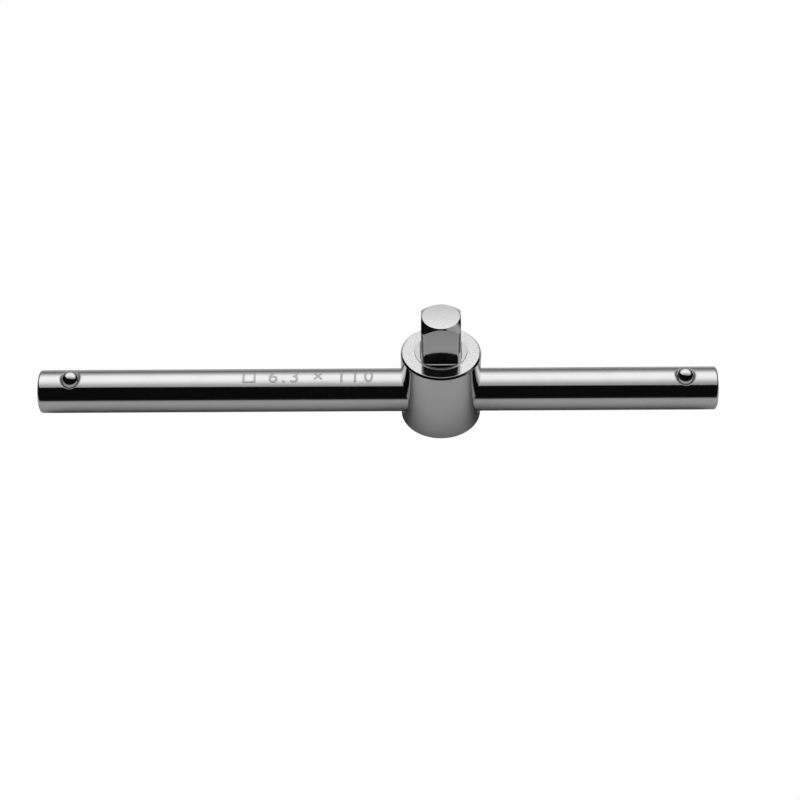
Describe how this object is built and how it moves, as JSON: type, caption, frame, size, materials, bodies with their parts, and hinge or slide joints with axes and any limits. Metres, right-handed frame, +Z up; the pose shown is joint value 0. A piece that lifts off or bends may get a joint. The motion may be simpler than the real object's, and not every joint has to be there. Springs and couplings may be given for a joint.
{
  "type": "sliding t-handle for sockets",
  "caption": "Chrome sliding T-handle: a round bar slides and turns in a cylindrical head with a male square drive, held by a grip ring and stopped by spring balls.",
  "frame": {"origin": "centre of the head's flat base, on the axis of the square drive", "axes": "+Z up along the square drive, +X along the bar towards its short side, -Y towards the side that the stop balls lean to"},
  "size_m": [0.11, 0.013, 0.0207],
  "materials": {
    "chromed_head": "polished chrome plate",
    "chromed_bar": "polished chrome plate, fine drawn lines along the bar",
    "steel_ball": "polished hardened steel",
    "spring_wire": "drawn spring steel wire"
  },
  "bodies": {
    "head": {"drive_head": "chromed_head", "drive_ball_spring": "spring_wire"},
    "ring": {"grip_ring": "spring_wire"},
    "bar": {"sliding_bar": "chromed_bar", "left_stop_spring": "spring_wire", "right_stop_spring": "spring_wire"},
    "left_ball": {"left_stop_ball": "steel_ball"},
    "right_ball": {"right_stop_ball": "steel_ball"},
    "socket_ball": {"drive_ball": "steel_ball"}
  },
  "joints": [
    {"name": "bar_turn", "type": "hinge", "parent": "head", "child": "ring", "pos_m": [0, 0, 0.005], "axis": [1, 0, 0], "continuous": true},
    {"name": "bar_slide", "type": "slide", "parent": "ring", "child": "bar", "axis": [1, 0, 0], "range_m": [-0.0313, 0.0519]},
    {"name": "left_ball_press", "type": "slide", "parent": "bar", "child": "left_ball", "axis": [0, 0.1736, -0.9848], "range_m": [0, 0.0011], "stiffness_N_per_m": 1500, "springref_m": -0.0005, "deforming": ["left_stop_spring"]},
    {"name": "right_ball_press", "type": "slide", "parent": "bar", "child": "right_ball", "axis": [0, 0.1736, -0.9848], "range_m": [0, 0.0011], "stiffness_N_per_m": 1500, "springref_m": -0.0005, "deforming": ["right_stop_spring"]},
    {"name": "drive_ball_press", "type": "slide", "parent": "head", "child": "socket_ball", "axis": [0, -1, 0], "range_m": [0, 0.0005], "stiffness_N_per_m": 1500, "springref_m": -0.0005, "deforming": ["drive_ball_spring"]}
  ]
}
